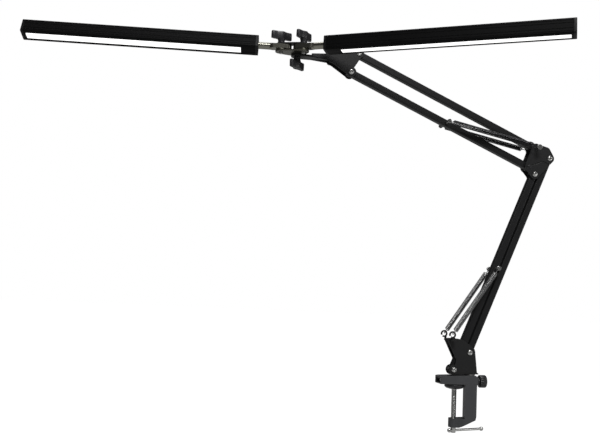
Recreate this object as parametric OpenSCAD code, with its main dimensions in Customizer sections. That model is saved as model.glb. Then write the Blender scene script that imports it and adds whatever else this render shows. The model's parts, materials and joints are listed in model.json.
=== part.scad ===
// Architect desk lamp: screw clamp, swivel base, two sprung parallelogram arms,
// swivel head and two square light bars.
// Origin: clamp screw axis at the underside of the upper jaw. +Z up, arms in the plane Y = 0.

/* [Arms] */
// Pivot-to-pivot length of the lower arm
lower_len = 350; // [300:1:400]
// Pivot-to-pivot length of the upper arm
upper_len = 335; // [290:1:380]
// Lean of the lower arm above the horizontal, to the right
lower_angle = 67.8; // [66:0.1:100]
// Rise of the upper arm above the horizontal, to the left
upper_angle = 23.2; // [0:0.1:45]
// Width of the square arm tubes
tube_w = 11; // [10:0.5:12]
// Wall thickness of the arm tubes
tube_wall = 1.2; // [1:0.1:1.5]
// Thickness of the pressed steel plates
plate_t = 1.5; // [1.2:0.1:1.8]
// Distance from the arm plane to the inner face of each plate
plate_in = 7; // [6.8:0.1:7.4]
// Distance from the arm plane to each spring's axis
spring_y = 19; // [17:0.1:20]
// Outside diameter of the tension springs
spring_d = 8.5; // [7:0.1:9.5]
// Radius of the pivot rivets
pin_r = 3; // [2.5:0.1:3.2]

/* [Clamp] */
// Distance between the jaws of the clamp
jaw_gap = 54; // [50:1:60]
// Width of the clamp casting
clamp_w = 28; // [26:1:32]
// Radius of the clamp screw
screw_r = 4; // [3.5:0.1:4.2]
// Radius of the pressure pad
pad_r = 15.5; // [13:0.5:15.5]
// Radius of the swivel pin
swivel_r = 5; // [4.5:0.1:5.2]

/* [Head] */
// Turn of the head about its upright pivot
head_turn = -19; // [-40:1:0]
// Distance between the two wing screws
wing_span = 36; // [36:0.5:42]
// Sweep of each bar forward of the head's line
bar_sweep = 9.8; // [0:0.1:20]
// Radius of the rods that carry the bars
rod_r = 5.5; // [5:0.1:6]
// Distance from a wing screw to the end of its bar
rod_gap = 36; // [36:0.5:44]

/* [Light bars] */
// Length of each light bar with its end caps
bar_len = 372; // [340:1:400]
// Side of the square light bar
bar_w = 24; // [22:0.5:25]
// Wall thickness of the bar housing
bar_wall = 1.6; // [1.4:0.1:2]
// Plain length of housing before the diffuser starts
blank_len = 27; // [24:1:34]
// Width of the diffuser's slot in the lower face
slot_w = 13; // [10:0.5:15]
// Turn of the left bar about its own rod
left_roll = 22.7; // [0:0.1:45]
// Turn of the right bar about its own rod
right_roll = 5.9; // [0:0.1:45]
// Rise of the left bar above level
left_rise = 1.2; // [0:0.1:2]
// Rise of the right bar above level
right_rise = 0.3; // [0:0.1:2]

/* [Hidden] */

$fn = 48;
run = 0.05;                 // running clearance on a radius
plug_t = 2;                 // thickness of the plugs in the tubes' ends
cross_r = 2;                // radius of the pins that the springs hook on
steel_black = "#1c1c1e";
casting_grey = "#45464a";
zinc = "#b9b6ae";
plastic_black = "#26262a";
nickel = "#a8a596";

// Arm pivots in the plane Y = 0, as [x, z]
base_main = [-4.1, 22];
base_link = base_main + 38.5 * [cos(47.3), sin(47.3)];
lower_dir = [cos(lower_angle), sin(lower_angle)];
upper_dir = [-cos(upper_angle), sin(upper_angle)];
elbow_main = base_main + lower_len * lower_dir;
elbow_link = base_link + lower_len * lower_dir;
elbow_upper = elbow_main + [1.5, 43.6];
elbow_lower = elbow_main + [-10, 12.1];
head_upper = elbow_upper + upper_len * upper_dir;
head_lower = elbow_lower + upper_len * upper_dir;
lower_pin_at = base_main + 178 * lower_dir;
upper_pin_at = elbow_lower + 158 * upper_dir;
hook_at = base_main + [-8, 56];
hook_r = 5.7;               // outside radius of the open spring hooks

// Clamp heights and depths
jaw_left = -27;
jaw_right = 34.5;
spine_front = 13.2;         // left edge of the spine at its front face
spine_back = 20.5;          // left edge of the spine at its rear face
jaw_top_left = 11.5;
jaw_top_right = 14.5;
jaw_boss_r = 8.2;           // round boss of the lower jaw about the screw
clamp_bottom = -68;
heel_z = -55.5;             // underside of the lower jaw below the spine
swivel_x = 26;
swivel_bottom = -24;
lock_z = 4.5;               // height of the swivel lock screw
lock_r = 2.5;
bush_t = 1.5;               // wall of the swivel bush
bar_z = -73.3;              // height of the tommy bar
bar_turn = 18;              // turn of the tommy bar about the screw
bar_shift = 25;             // how far the tommy bar is pushed out
bar_half = 32.6;            // half the distance between its balls
bar_r = 2;
ball_r = 3.4;
web_z = 16;                 // underside of the base bracket
plate_out = plate_in + plate_t;
boss_r = 8;                 // radius of the plate round a pivot
corner_steps = 10;          // straight pieces in a plate's round corner

// Head heights and places
rod_z = head_lower[1] + 30;
pivot_at = [head_lower[0] - 87.7, 0];
lower_plate_z = rod_z - 8.6;
tongue_t = 3.5;
tang_t = 7.2;
head_line = [cos(head_turn), sin(head_turn)];
head_back = [-sin(head_turn), cos(head_turn)];
head_mid = pivot_at - 15 * head_back - 6 * head_line;
left_wing = head_mid - wing_span / 2 * head_line;
right_wing = head_mid + wing_span / 2 * head_line;
left_yaw = 180 + head_turn + bar_sweep;
right_yaw = head_turn - bar_sweep;
wing_r = 3;                 // radius of the wing screws' shanks
top_plate_z = rod_z + tang_t / 2 + 0.2;
top_plate_t = 1.8;
knob_z = top_plate_z + top_plate_t + 0.2;
under_z = lower_plate_z - tongue_t - 0.2;
bracket_left = head_lower[0] - 40;
slot_len = bar_len - blank_len - 7.5;

// ---- shapes that repeat ----

// Extrudes an outline drawn as [x, z] between two depths
module slab(y0, y1) {
    translate([0, y1, 0]) rotate([90, 0, 0]) linear_extrude(y1 - y0) children();
}

// Rounded strip from point a to point b
module strip2d(a, b, r) {
    d = b - a;
    translate(a) rotate(atan2(d[1], d[0])) translate([0, -r]) square([norm(d), 2 * r]);
    translate(a) circle(r);
    translate(b) circle(r);
}

// Direction in which the edge after point i faces, for points that run anticlockwise
function facing(pts, i) = let (d = pts[(i + 1) % len(pts)] - pts[i % len(pts)]) atan2(d[1], d[0]) - 90;

// Outline of a plate with a round corner of radius r about each of its points
function rounded(pts, r) = [
    for (i = [0:len(pts) - 1])
        let (a = facing(pts, i + len(pts) - 1), sweep = (facing(pts, i) - a + 720) % 360)
            for (k = [0:corner_steps])
                pts[i] + r * [cos(a + sweep * k / corner_steps), sin(a + sweep * k / corner_steps)]
];

// Cylinder along Y at an [x, z] place
module pin_y(at, r, y0, y1) {
    translate([at[0], y1, at[1]]) rotate([90, 0, 0]) cylinder(r = r, h = y1 - y0);
}

// Places children drawn along +X on the line from pivot a to pivot b
module along(a, b) {
    d = b - a;
    translate([a[0], 0, a[1]]) rotate([0, -atan2(d[1], d[0]), 0]) children();
}

// Square bar along +X, centred on its own axis
module square_bar(x0, x1, w) {
    translate([x0, -w / 2, -w / 2]) cube([x1 - x0, w, w]);
}

// Square arm tube, bored at its two pivots and for an optional cross pin
module arm_tube(a, b, cross_at = undef) {
    reach = norm(b - a) + tube_w / 2;
    difference() {
        along(a, b) difference() {
            square_bar(-tube_w / 2, reach, tube_w);
            square_bar(-tube_w, reach + tube_w, tube_w - 2 * tube_wall);
        }
        pin_y(a, pin_r + run, -tube_w, tube_w);
        pin_y(b, pin_r + run, -tube_w, tube_w);
        if (!is_undef(cross_at)) pin_y(cross_at, cross_r, -tube_w, tube_w);
    }
}

// Plastic plugs in the two ends of an arm tube
module arm_plugs(a, b) {
    reach = norm(b - a) + tube_w / 2;
    along(a, b) {
        square_bar(-tube_w / 2, -tube_w / 2 + plug_t, tube_w - 2 * tube_wall);
        square_bar(reach - plug_t, reach, tube_w - 2 * tube_wall);
    }
}

// Tubular rivet through both plates, with a domed head on each side
module rivet(at, out = plate_out) {
    difference() {
        union() {
            pin_y(at, pin_r, -out - 1.4, out + 1.4);
            for (side = [-1, 1]) translate([at[0], side * out, at[1]]) rotate([-90 * side, 0, 0])
                rotate_extrude() polygon([[0, 0], [4.6, 0], [4.4, 0.9], [3.6, 1.8], [2.4, 2.3], [0, 2.4]]);
        }
        for (side = [-1, 1]) translate([at[0], side * (out + 1.2), at[1]]) rotate([-90 * side, 0, 0])
            cylinder(r = 1.4, h = 3);
    }
}

// Pair of nylon washers beside a tube
module washers(at) {
    for (side = [-1, 1]) translate([at[0], side * (tube_w / 2 + plate_in) / 2, at[1]]) rotate([90, 0, 0])
        difference() {
            cylinder(r = 5.2, h = plate_in - tube_w / 2 - 0.2, center = true);
            cylinder(r = pin_r + run, h = 3, center = true);
        }
}

// Cross pin that a spring hooks on at each side
module spring_pin(at, r) {
    pin_y(at, r, -spring_y - 2, spring_y + 2);
    for (side = [-1, 1]) pin_y(at, r + 1.3, min(side * (spring_y + 2), side * (spring_y + 3.4)),
        max(side * (spring_y + 2), side * (spring_y + 3.4)));
}

// Pair of tension springs, as plain closed bodies with an eye at each end
module spring_pair(a, b, eye_a, eye_b) {
    d = b - a;
    len_ab = norm(d);
    for (side = [-1, 1]) translate([a[0], side * spring_y, a[1]]) rotate([0, 90 - atan2(d[1], d[0]), 0]) {
        translate([0, 0, eye_a]) cylinder(r = spring_d / 2, h = len_ab - eye_a - eye_b);
    }
}

// Wing knob that points up from z = 0, as a hub and a T-shaped grip
module wing_grip(turn) {
    difference() {
        union() {
            cylinder(r = 5.6, h = 8);
            rotate(turn) {
                translate([0, 0, 12.5]) cube([32, 7.6, 12], center = true);
                for (side = [-1, 1]) translate([side * 14, 0, 6.5]) cylinder(r = 3.6, h = 12);
                translate([0, 0, 5]) cylinder(r = 6.6, h = 13.5);
            }
        }
        translate([0, 0, -1]) cylinder(r = wing_r, h = 13);
    }
}

// Places children drawn along +X on a light bar's rod
module on_bar(at, yaw, rise, roll) {
    translate([at[0], at[1], rod_z]) rotate([0, 0, yaw]) rotate([0, -rise, 0]) rotate([roll, 0, 0])
        children();
}

module on_left() { on_bar(left_wing, left_yaw, left_rise, left_roll) children(); }
module on_right() { on_bar(right_wing, right_yaw, right_rise, -right_roll) children(); }

// Flat tang and round rod that carry one bar
module yoke(at, yaw, rise) {
    translate([at[0], at[1], rod_z]) rotate([0, 0, yaw]) difference() {
        union() {
            linear_extrude(tang_t, center = true) strip2d([-9.2, 0], [12, 0], 7.6);
            rotate([0, -rise, 0]) translate([14, 0, 0]) rotate([0, 90, 0]) cylinder(r = rod_r, h = rod_gap);
        }
        cylinder(r = wing_r + 0.1, h = 20, center = true);
    }
}

// Retaining collar on the rod's end inside the bar
module rod_collar() {
    translate([rod_gap + 9, 0, 0]) rotate([0, 90, 0]) difference() {
        cylinder(r = 8, h = 4);
        translate([0, 0, -1]) cylinder(r = rod_r, h = 6);
    }
}

// Square housing with a slot for the diffuser in its lower face
module housing() {
    inner = bar_w - 2 * bar_wall;
    translate([rod_gap + 4, 0, 0]) difference() {
        translate([0, -bar_w / 2, -bar_w / 2]) cube([bar_len - 8, bar_w, bar_w]);
        translate([-1, -inner / 2, -inner / 2]) cube([bar_len, inner, inner]);
        translate([blank_len - 4, -slot_w / 2, -bar_w]) cube([slot_len, slot_w, bar_w]);
        translate([14, 0, 0]) cylinder(r = 3, h = bar_w);
    }
}

// Inner end cap with the bearing for the rod
module inner_cap() {
    plug = bar_w - 2 * bar_wall - 0.2;
    translate([rod_gap, 0, 0]) difference() {
        union() {
            translate([0, -bar_w / 2, -bar_w / 2]) cube([4, bar_w, bar_w]);
            translate([3, -plug / 2, -plug / 2]) cube([5.5, plug, plug]);
        }
        translate([-1, 0, 0]) rotate([0, 90, 0]) cylinder(r = rod_r + run, h = 20);
    }
}

// Outer end cap
module outer_cap() {
    plug = bar_w - 2 * bar_wall - 0.2;
    translate([rod_gap + bar_len - 4, 0, 0]) {
        translate([0, -bar_w / 2, -bar_w / 2]) cube([4, bar_w, bar_w]);
        translate([-3, -plug / 2, -plug / 2]) cube([4, plug, plug]);
    }
}

// Opal diffuser that snaps into the housing's slot
module diffuser() {
    fit = 0.1;
    lip = slot_w + 4;
    length = slot_len - 2 * fit;
    translate([rod_gap + blank_len + fit, 0, -bar_w / 2]) {
        translate([0, fit - slot_w / 2, 0.3]) cube([length, slot_w - 2 * fit, 2]);
        translate([0, -lip / 2, bar_wall + fit]) cube([length, lip, 1.4]);
    }
}

// Circuit board with its row of light-emitting diodes
module light_board() {
    board_w = bar_w - 2 * bar_wall - 1;
    x0 = rod_gap + blank_len + 2;
    length = bar_len - blank_len - 14;
    translate([x0, -board_w / 2, 2]) cube([length, board_w, 1.6]);
    for (i = [0:23]) translate([x0 + length * (i + 0.5) / 24 - 2, -1.5, 1.2]) cube([4, 3, 0.9]);
}

// Rubber grommet in the top face near the rod
module grommet() {
    translate([rod_gap + 18, 0, bar_w / 2 - bar_wall - 1]) difference() {
        union() {
            cylinder(r = 3, h = bar_wall + 1);
            translate([0, 0, bar_wall + 1]) cylinder(r = 4.4, h = 1.2);
        }
        translate([0, 0, -1]) cylinder(r = 1.8, h = 10);
    }
}

// ---- clamp ----

// Side view of everything below the upper jaw
module lower_outline2d() {
    polygon([[-jaw_boss_r - 1, clamp_bottom], [5, clamp_bottom], [jaw_right - 2.5, heel_z],
        [jaw_right + 1, heel_z + 8], [jaw_right + 1, 6], [-jaw_boss_r - 1, 6]]);
}

// Plan view of the spine, whose throat side slants and whose front right edge is chamfered
module spine_plan2d(half) {
    polygon([[spine_front, -half], [jaw_right - 3, -half], [jaw_right - 0.2, 3 - half],
        [jaw_right - 0.2, half], [spine_back, half]]);
}

// Plan view of the lower jaw between the screw's boss and the spine
module lower_jaw_plan2d(half) {
    polygon([[0, -jaw_boss_r], [spine_front - 2, 0.4 - half], [spine_back + 2, 0.4 - half],
        [spine_back + 2, half - 0.4], [spine_back, half - 0.4], [0, jaw_boss_r]]);
}

module clamp_frame() {
    half = clamp_w / 2;
    color(casting_grey) difference() {
        union() {
            slab(-half, half) polygon([[jaw_left, 0], [jaw_right, 0], [jaw_right, jaw_top_right - 3],
                [jaw_right - 4, jaw_top_right], [jaw_left + 3, jaw_top_left + 0.8], [jaw_left, jaw_top_left]]);
            intersection() {
                slab(-half, half) lower_outline2d();
                union() {
                    translate([0, 0, clamp_bottom - 1]) linear_extrude(4 - clamp_bottom)
                        spine_plan2d(half - 0.2);
                    translate([0, 0, clamp_bottom - 1]) linear_extrude(1 - jaw_gap - clamp_bottom) {
                        lower_jaw_plan2d(half);
                        circle(jaw_boss_r);
                    }
                }
            }
        }
        // pocket in the end of the upper jaw
        translate([jaw_left - 1, 3 - half, 1.8]) cube([7, clamp_w - 6, 7]);
        // blind seat of the small jaw screw
        translate([jaw_left + 5, 0, 5.3]) rotate([0, 90, 0]) cylinder(r = 1.5, h = 9);
        // bore for the swivel bush
        translate([swivel_x, 0, swivel_bottom - 2]) cylinder(r = swivel_r + bush_t, h = 60);
        // seat of the threaded insert
        translate([0, 0, clamp_bottom - 1]) cylinder(r = 6, h = 40);
        // hole for the swivel lock screw
        translate([swivel_x, 0, lock_z]) rotate([0, 90, 0]) cylinder(r = lock_r + run, h = 30);
    }
}

module screw_insert() {
    color(zinc) translate([0, 0, clamp_bottom]) difference() {
        union() {
            cylinder(r = 6, h = -jaw_gap - clamp_bottom);
            translate([0, 0, -0.6]) cylinder(r = 6.8, h = 0.6);
        }
        translate([0, 0, -2]) cylinder(r = screw_r + run, h = 30);
    }
}

module swivel_bush() {
    low = swivel_bottom - 2;
    color("#d8d5cc") translate([swivel_x, 0, 0]) difference() {
        union() {
            translate([0, 0, low]) cylinder(r = swivel_r + bush_t, h = jaw_top_right - low);
            translate([0, 0, jaw_top_right]) cylinder(r = swivel_r + 3, h = 1);
        }
        translate([0, 0, swivel_bottom]) cylinder(r = swivel_r + run, h = 60);
        translate([0, 0, lock_z]) rotate([0, 90, 0]) cylinder(r = lock_r + run, h = 20);
    }
}

module jaw_screw() {
    color(zinc) translate([jaw_left + 3.5, 0, 5.3]) rotate([0, 90, 0]) difference() {
        union() {
            cylinder(r = 1.5, h = 9);
            cylinder(r = 2.6, h = 1.5);
        }
        translate([0, 0, -1]) cylinder(r = 1.2, h = 1.9, $fn = 6);
    }
}

// ---- screw, pad and tommy bar ----

module pressure_pad() {
    color(plastic_black) difference() {
        rotate_extrude($fn = 64) polygon([[0, -8.2], [8, -8.2], [pad_r - 2.5, -6.8], [pad_r, -4.6],
            [pad_r, -1.4], [0, -1.4]]);
        translate([0, 0, -9]) cylinder(r = screw_r + 0.3, h = 5);
    }
}

module pad_rubber() {
    color("#141416") difference() {
        translate([0, 0, -1.4]) cylinder(r = pad_r - 1, h = 1.2, $fn = 64);
        for (r = [5, 9]) translate([0, 0, -0.6]) difference() {
            cylinder(r = r + 0.6, h = 1, $fn = 48);
            translate([0, 0, -1]) cylinder(r = r - 0.6, h = 3, $fn = 48);
        }
    }
}

module clamp_screw() {
    low = bar_z - 3.8;
    color(zinc) difference() {
        translate([0, 0, low]) cylinder(r = screw_r, h = -4.4 - low);
        translate([0, 0, bar_z]) rotate([0, 90, bar_turn]) cylinder(r = bar_r + run, h = 40, center = true);
    }
}

module tommy_bar() {
    color(zinc) rotate(bar_turn) translate([bar_shift - bar_half, 0, bar_z]) rotate([0, 90, 0])
        cylinder(r = bar_r, h = 2 * bar_half);
}

module tommy_balls() {
    color(zinc) rotate(bar_turn) for (side = [-1, 1]) translate([bar_shift + side * bar_half, 0, bar_z])
        difference() {
            sphere(r = ball_r);
            rotate([0, 90 * side, 0]) translate([0, 0, -10]) cylinder(r = bar_r, h = 10);
        }
}

// ---- swivel lock ----

module swivel_lock_knob() {
    neck = 7.5;
    color(plastic_black) translate([jaw_right + 0.5, 0, lock_z]) rotate([0, 90, 0]) difference() {
        union() {
            cylinder(r = 5.5, h = neck);
            translate([0, 0, neck - 1]) cylinder(r = 9.4, h = 11);
            for (i = [0:11]) rotate(i * 30) translate([9, 0, neck - 0.4]) cylinder(r = 1.1, h = 9.8);
        }
        translate([0, 0, -1]) cylinder(r = lock_r, h = 9);
    }
}

module swivel_lock_screw() {
    tip = swivel_x + swivel_r + 0.3;
    color(zinc) translate([tip, 0, lock_z]) rotate([0, 90, 0]) cylinder(r = lock_r, h = jaw_right + 8.5 - tip);
}

// ---- swivel base ----

module base_plate2d() {
    difference() {
        union() {
            polygon([[hook_at[0] - 3.4, 69], [hook_at[0] + 2, 72], [8, 71], [24, 61],
                [base_link[0] + boss_r, base_link[1] + 5], [base_link[0] + boss_r + 1, base_link[1]],
                [35, web_z], [8, web_z], [base_main[0], base_main[1] - boss_r],
                [base_main[0], base_main[1]], [-0.8, 39]]);
            translate(base_main) circle(boss_r);
            translate(base_link) circle(boss_r + 1);
        }
        translate(base_main) circle(pin_r);
        translate(base_link) circle(pin_r);
    }
}

// Eye hook that stands on an outward ledge of the base bracket
module base_hook(side) {
    t = 1.6;
    y = side * spring_y;
    difference() {
        slab(y - t / 2, y + t / 2) {
            strip2d([hook_at[0] + 2.4, 69.6], [hook_at[0] + 2.4, hook_at[1] - 2], 1.8);
            translate(hook_at) circle(hook_r);
        }
        slab(y - t, y + t) {
            translate(hook_at) circle(hook_r - 2.6);
            translate(hook_at + [-2.8, -1.4]) rotate(200) square([6, 2.6]);
        }
    }
    ledge_y = [min(side * plate_in, side * (spring_y + 0.8)), max(side * plate_in, side * (spring_y + 0.8))];
    translate([hook_at[0], ledge_y[0], 67.8]) cube([7, ledge_y[1] - ledge_y[0], 2]);
}

module base_bracket() {
    color(steel_black) {
        slab(plate_in, plate_out) base_plate2d();
        slab(-plate_out, -plate_in) base_plate2d();
        difference() {
            translate([8, -plate_out, web_z]) cube([29, 2 * plate_out, 2]);
            translate([swivel_x, 0, web_z - 1]) cylinder(r = swivel_r - 1, h = 6);
        }
        for (side = [-1, 1]) base_hook(side);
    }
}

module swivel_pin() {
    color(zinc) translate([swivel_x, 0, 0]) {
        translate([0, 0, swivel_bottom + 0.3]) cylinder(r = swivel_r, h = web_z - swivel_bottom - 0.3);
        translate([0, 0, web_z - 0.1]) cylinder(r = swivel_r - 1, h = 3);
        translate([0, 0, web_z + 2]) cylinder(r = swivel_r + 0.4, h = 1.6);
    }
}

module base_rivets() {
    color(zinc) {
        rivet(base_main);
        rivet(base_link);
    }
}

module base_washers() {
    color("#e6e4dc") {
        washers(base_main);
        washers(base_link);
    }
}

// ---- arms ----

module lower_main_tube() { color(steel_black) arm_tube(base_main, elbow_main, lower_pin_at); }
module lower_main_plugs() { color(plastic_black) arm_plugs(base_main, elbow_main); }
module lower_spring_pin() { color(zinc) spring_pin(lower_pin_at, cross_r); }
module lower_link_tube() { color(steel_black) arm_tube(base_link, elbow_link); }
module lower_link_plugs() { color(plastic_black) arm_plugs(base_link, elbow_link); }
module upper_main_tube() { color(steel_black) arm_tube(elbow_upper, head_upper); }
module upper_main_plugs() { color(plastic_black) arm_plugs(elbow_upper, head_upper); }
module upper_link_tube() { color(steel_black) arm_tube(elbow_lower, head_lower, upper_pin_at); }
module upper_link_plugs() { color(plastic_black) arm_plugs(elbow_lower, head_lower); }
module upper_spring_pin() { color(zinc) spring_pin(upper_pin_at, cross_r); }

// ---- elbow ----

module elbow_outline(left_r, top_r, shoulder) {
    difference() {
        union() {
            polygon(rounded([elbow_upper, elbow_lower, elbow_main, elbow_link,
                elbow_link + [-6.5, 11]], 7.5));
            translate(elbow_lower) circle(left_r);
            translate(elbow_main) circle(boss_r);
            translate(elbow_upper + shoulder) circle(top_r);
        }
        for (at = [elbow_upper, elbow_link, elbow_main]) translate(at) circle(pin_r);
        translate(elbow_lower) circle(pin_r);
    }
}

module elbow_front_plate() { color(steel_black) slab(-plate_out, -plate_in) elbow_outline(7.5, 8, [0, 0]); }
module elbow_rear_plate() { color(steel_black) slab(plate_in, plate_out) elbow_outline(8.4, 10, [-3, 4]); }

module elbow_rivets() {
    color(zinc) {
        rivet(elbow_main);
        rivet(elbow_link);
        // flush pin of the upper arm's link tube
        pin_y(elbow_lower, pin_r, -plate_out - 0.4, plate_out + 1.2);
    }
}

module elbow_spring_pin() { color(zinc) spring_pin(elbow_upper, pin_r); }

module elbow_washers() {
    color("#e6e4dc") for (at = [elbow_main, elbow_link, elbow_upper, elbow_lower]) washers(at);
}

// ---- head bracket ----

module head_plate2d() {
    difference() {
        union() {
            polygon([[bracket_left, rod_z + 4], [bracket_left, lower_plate_z + 4.6],
                [pivot_at[0] + 22, lower_plate_z + 2.6], [pivot_at[0] + 21, lower_plate_z - tongue_t],
                [bracket_left + 2, lower_plate_z - 6], [bracket_left + 4, lower_plate_z - 9],
                [bracket_left + 9, lower_plate_z - 10], head_lower + [-6, -4.8], head_lower,
                head_upper + [boss_r - 4, -6], head_upper, head_upper + [0, boss_r],
                [bracket_left + 14, rod_z + 9]]);
            translate(head_lower) circle(boss_r);
            translate(head_upper) circle(boss_r);
        }
        translate(head_lower) circle(pin_r);
        translate(head_upper) circle(pin_r);
    }
}

module head_bracket() {
    tongue_z = lower_plate_z - tongue_t;
    color(steel_black) difference() {
        union() {
            slab(plate_in, plate_out) head_plate2d();
            slab(-plate_out, -plate_in) head_plate2d();
            translate([bracket_left, -plate_out, tongue_z])
                cube([plate_t, 2 * plate_out, rod_z + 4 - tongue_z]);
            // flat tongue under the head plate
            translate([0, 0, tongue_z]) linear_extrude(tongue_t - 0.2) {
                strip2d(pivot_at, [pivot_at[0] + 8, 0], 10);
                polygon([[pivot_at[0], -10], [bracket_left + 1, -plate_out],
                    [bracket_left + 1, plate_out], [pivot_at[0], 10]]);
            }
        }
        translate([pivot_at[0], 0, tongue_z - 5]) cylinder(r = wing_r + 0.1, h = 20);
    }
}

module head_rivets() {
    color(zinc) {
        rivet(head_lower);
        rivet(head_upper);
    }
}

module head_washers() {
    color("#e6e4dc") {
        washers(head_lower);
        washers(head_upper);
    }
}

// ---- head plates and knobs ----

module head_holes(r) {
    for (at = [left_wing, right_wing, pivot_at]) translate([at[0], at[1], 0]) cylinder(r = r, h = 2 * rod_z);
}

module head_lower_plate() {
    color("#6a6a5e") difference() {
        union() {
            translate([0, 0, lower_plate_z]) linear_extrude(2.6)
                polygon(rounded([left_wing, right_wing, pivot_at], 9));
            // washers welded under the two tangs
            for (at = [left_wing, right_wing]) translate([at[0], at[1], lower_plate_z + 2.5])
                cylinder(r = 8, h = rod_z - tang_t / 2 - lower_plate_z - 2.6);
        }
        head_holes(wing_r + run);
    }
}

module head_top_plate() {
    color(steel_black) difference() {
        translate([0, 0, top_plate_z]) linear_extrude(top_plate_t)
            polygon(rounded([left_wing, right_wing], 7.5));
        head_holes(wing_r + run);
    }
}

module wing_screw(at, z0, z1) {
    translate([at[0], at[1], z0]) cylinder(r = wing_r, h = z1 - z0);
}

module left_knob() {
    color(plastic_black) translate([left_wing[0], left_wing[1], knob_z]) wing_grip(16);
}
module right_knob() {
    color(plastic_black) translate([right_wing[0], right_wing[1], knob_z]) wing_grip(42);
}
module head_knob() {
    color(plastic_black) translate([pivot_at[0], 0, under_z]) rotate([180, 0, 0]) wing_grip(-45);
}
module left_knob_screw() { color(zinc) wing_screw(left_wing, lower_plate_z - 2.4, knob_z + 12); }
module right_knob_screw() { color(zinc) wing_screw(right_wing, lower_plate_z - 2.4, knob_z + 12); }
module head_knob_screw() { color(zinc) wing_screw(pivot_at, under_z - 12, lower_plate_z + 4); }

// ---- bars ----

module left_yoke() { color(nickel) yoke(left_wing, left_yaw, left_rise); }
module right_yoke() { color(nickel) yoke(right_wing, right_yaw, right_rise); }
module left_rod_collar() { color(zinc) on_left() rod_collar(); }
module right_rod_collar() { color(zinc) on_right() rod_collar(); }
module left_housing() { color(steel_black) on_left() housing(); }
module right_housing() { color(steel_black) on_right() housing(); }
module left_inner_cap() { color(plastic_black) on_left() inner_cap(); }
module right_inner_cap() { color(plastic_black) on_right() inner_cap(); }
module left_outer_cap() { color(plastic_black) on_left() outer_cap(); }
module right_outer_cap() { color(plastic_black) on_right() outer_cap(); }
module left_diffuser() { color("#f7f6f2") on_left() diffuser(); }
module right_diffuser() { color("#f7f6f2") on_right() diffuser(); }
module left_light_board() { color("#e9ebe6") on_left() light_board(); }
module right_light_board() { color("#e9ebe6") on_right() light_board(); }
module left_grommet() { color("#141416") on_left() grommet(); }
module right_grommet() { color("#141416") on_right() grommet(); }

// ---- springs ----

module lower_springs() { color("#8c8c8a") spring_pair(hook_at, lower_pin_at, 8, 9.5); }
module upper_springs() { color("#55565a") spring_pair(upper_pin_at, elbow_upper, 8, 14); }

clamp_frame();
screw_insert();
swivel_bush();
jaw_screw();
pressure_pad();
pad_rubber();
clamp_screw();
tommy_bar();
tommy_balls();
swivel_lock_knob();
swivel_lock_screw();
base_bracket();
swivel_pin();
base_rivets();
base_washers();
lower_main_tube();
lower_main_plugs();
lower_spring_pin();
lower_link_tube();
lower_link_plugs();
elbow_front_plate();
elbow_rear_plate();
elbow_rivets();
elbow_spring_pin();
elbow_washers();
upper_main_tube();
upper_main_plugs();
upper_link_tube();
upper_link_plugs();
upper_spring_pin();
head_bracket();
head_rivets();
head_washers();
head_lower_plate();
head_top_plate();
head_knob();
head_knob_screw();
left_knob();
left_knob_screw();
right_knob();
right_knob_screw();
left_yoke();
left_rod_collar();
right_yoke();
right_rod_collar();
left_housing();
left_inner_cap();
left_outer_cap();
left_diffuser();
left_light_board();
left_grommet();
right_housing();
right_inner_cap();
right_outer_cap();
right_diffuser();
right_light_board();
right_grommet();
lower_springs();
upper_springs();
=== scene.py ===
import json
import math
import bmesh
import bpy
import numpy as np
from mathutils import Matrix, Vector


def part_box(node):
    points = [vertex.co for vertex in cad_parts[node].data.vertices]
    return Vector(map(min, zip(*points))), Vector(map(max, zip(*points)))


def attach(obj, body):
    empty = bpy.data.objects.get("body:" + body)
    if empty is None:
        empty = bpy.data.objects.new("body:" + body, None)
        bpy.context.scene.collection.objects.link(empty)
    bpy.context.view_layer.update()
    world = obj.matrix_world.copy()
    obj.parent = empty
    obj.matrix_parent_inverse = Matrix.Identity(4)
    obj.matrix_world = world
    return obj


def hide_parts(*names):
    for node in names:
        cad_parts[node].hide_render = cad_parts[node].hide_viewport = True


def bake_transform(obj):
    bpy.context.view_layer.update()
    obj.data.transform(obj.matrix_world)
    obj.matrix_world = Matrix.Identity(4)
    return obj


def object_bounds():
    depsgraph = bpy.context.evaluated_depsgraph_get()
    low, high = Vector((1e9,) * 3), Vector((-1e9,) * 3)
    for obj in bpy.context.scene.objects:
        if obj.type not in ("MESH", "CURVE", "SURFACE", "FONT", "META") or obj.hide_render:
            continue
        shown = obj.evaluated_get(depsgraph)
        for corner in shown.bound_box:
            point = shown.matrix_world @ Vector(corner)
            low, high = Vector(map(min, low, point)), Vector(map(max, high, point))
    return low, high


# Architect desk lamp. Metres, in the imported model's frame: the origin is on the clamp screw's
# axis at the underside of the upper jaw, +Z is up and the arms lie in the plane Y = 0.

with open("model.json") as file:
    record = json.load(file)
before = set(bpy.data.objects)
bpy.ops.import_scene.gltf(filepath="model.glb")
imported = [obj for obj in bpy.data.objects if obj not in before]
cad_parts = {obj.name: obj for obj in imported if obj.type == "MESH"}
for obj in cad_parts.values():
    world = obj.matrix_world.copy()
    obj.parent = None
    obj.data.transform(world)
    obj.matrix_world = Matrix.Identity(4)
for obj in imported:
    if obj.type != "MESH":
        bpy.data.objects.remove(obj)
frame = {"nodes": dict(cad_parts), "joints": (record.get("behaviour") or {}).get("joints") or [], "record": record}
cad_lo, cad_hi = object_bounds()
record = frame["record"]
nodes = frame["nodes"]
node_slot = {part["node"]: part["material_slot"] for part in record["subparts"]}
joints = {joint["name"]: joint for joint in frame["joints"]}
MM = 0.001
FRONT, REAR = -1, 1
WELD_GAP = 1e-5  # vertices of a CAD node nearer than this are one
FLAT_ANGLE = math.radians(0.5)  # faces that meet at less are one flat face
SHARP_EDGE = math.radians(35)  # edges that turn more than this get a bevel
EDGE_WIDTH = 0.3 * MM


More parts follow.
